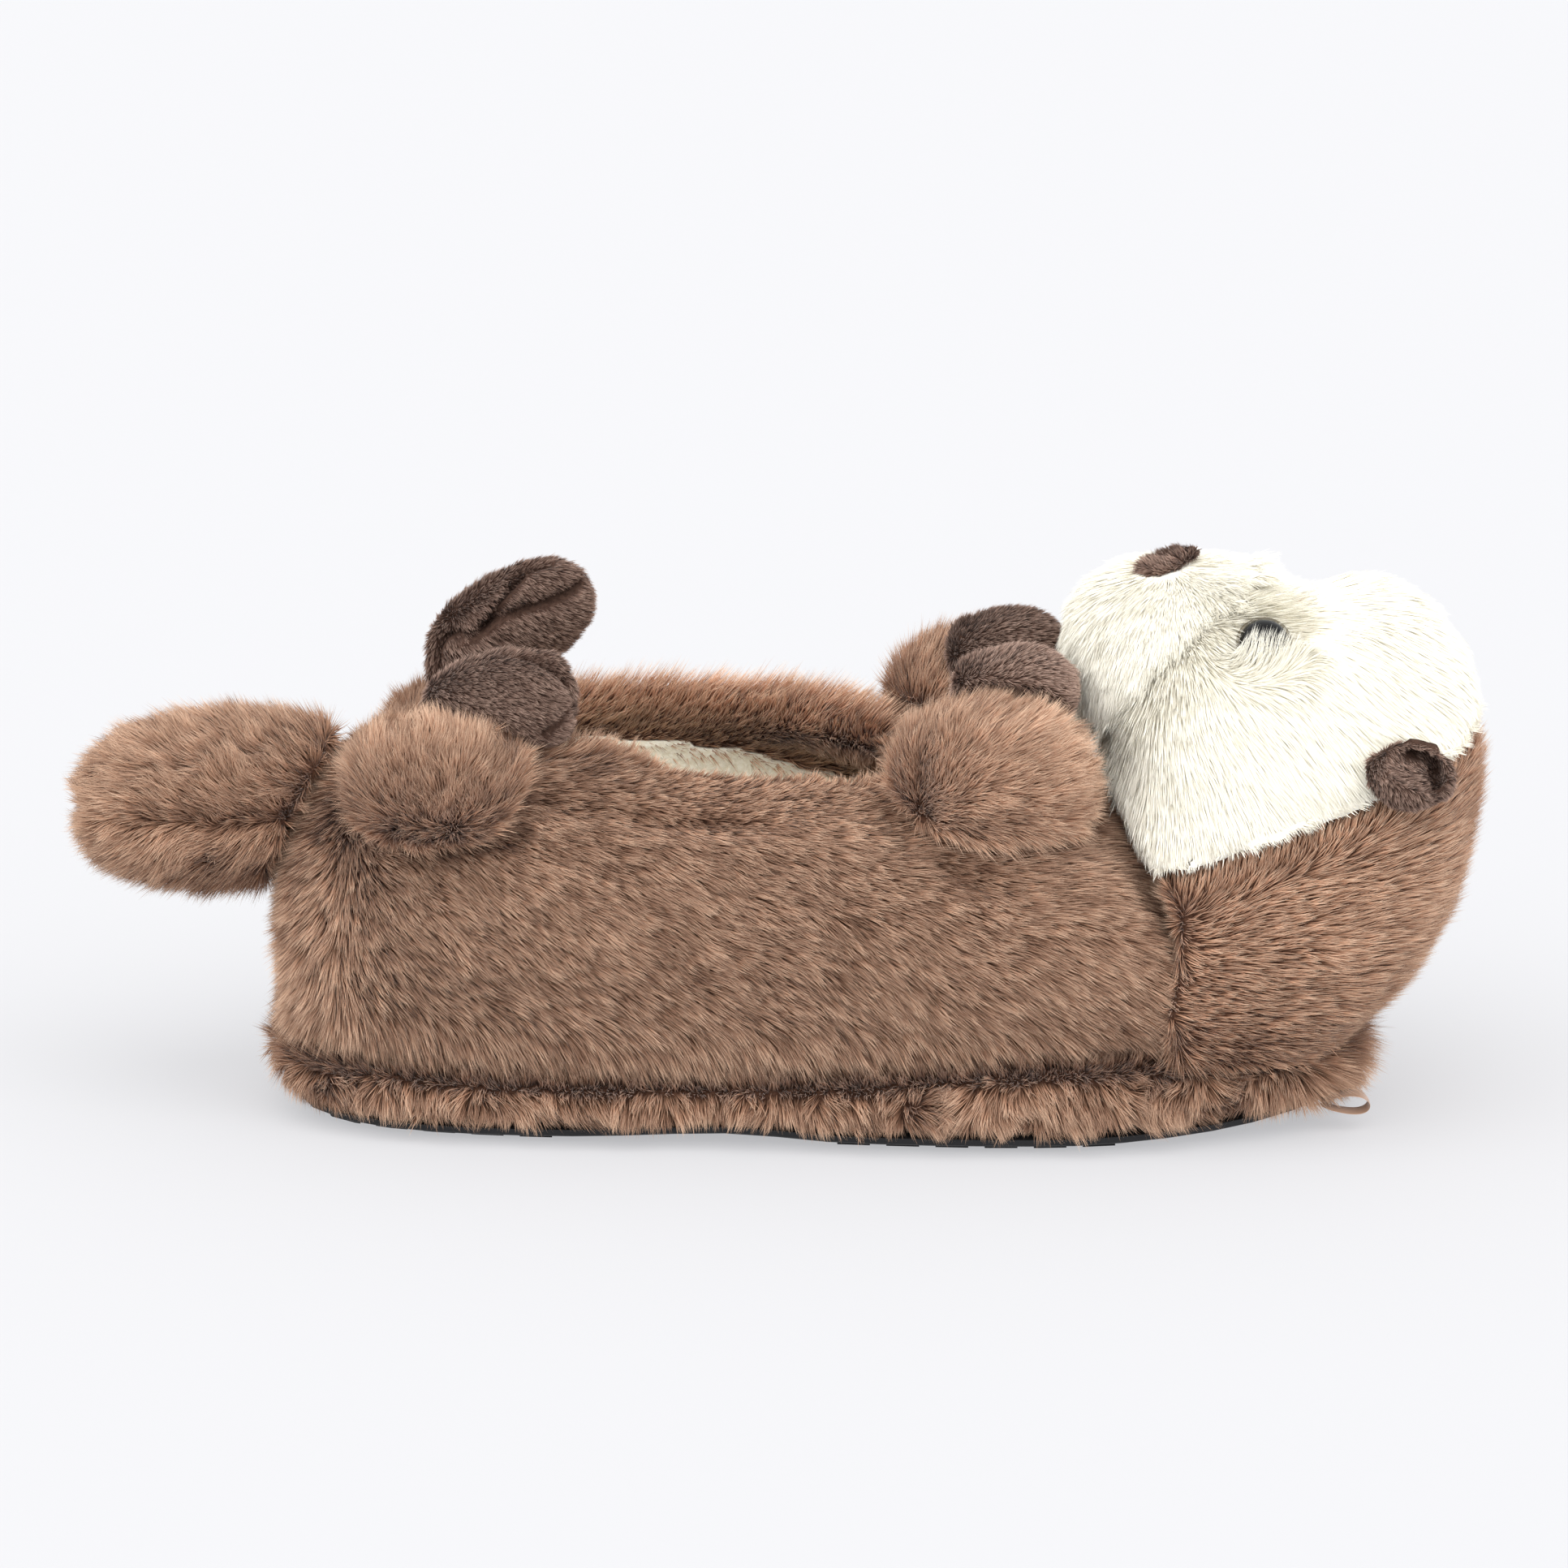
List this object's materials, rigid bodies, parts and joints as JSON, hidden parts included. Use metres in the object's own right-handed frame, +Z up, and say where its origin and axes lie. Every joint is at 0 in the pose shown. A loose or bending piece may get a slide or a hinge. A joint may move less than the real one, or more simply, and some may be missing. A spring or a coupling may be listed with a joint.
{
  "type": "animal slipper",
  "caption": "Plush slipper shaped as an otter on its back, with a collar at its belly, limbs beside it, a stuffed head as the toe, a tail at the heel and a flat soft sole.",
  "frame": {"origin": "middle of the whole shoe's box, on the floor plane under the sole", "axes": "+X from the tail to the head, which is the toe; +Y to the side that the picture doesn't show; +Z up from the floor"},
  "size_m": [0.349, 0.1217, 0.1425],
  "materials": {
    "outsole_rubber": "matte moulded rubber",
    "brown_fur": "deep faux fur",
    "cream_fur": "soft long plush",
    "dark_plush": "short nap plush",
    "eye_gloss": "polished",
    "satin": "satin ribbon"
  },
  "bodies": {
    "root": {"outsole": "outsole_rubber", "midsole": "brown_fur", "insole": "cream_fur", "upper": "brown_fur", "head": "brown_fur", "face": "cream_fur", "muzzle": "cream_fur", "nose": "dark_plush", "eye_near": "eye_gloss", "eye_far": "eye_gloss", "ear_near": "dark_plush", "ear_far": "dark_plush", "arm_near": "brown_fur", "arm_far": "brown_fur", "paw_near": "dark_plush", "paw_far": "dark_plush", "haunch_near": "brown_fur", "haunch_far": "brown_fur", "hind_foot_near": "dark_plush", "hind_foot_far": "dark_plush", "tail": "brown_fur", "ribbon_loop": "satin"}
  },
  "joints": []
}
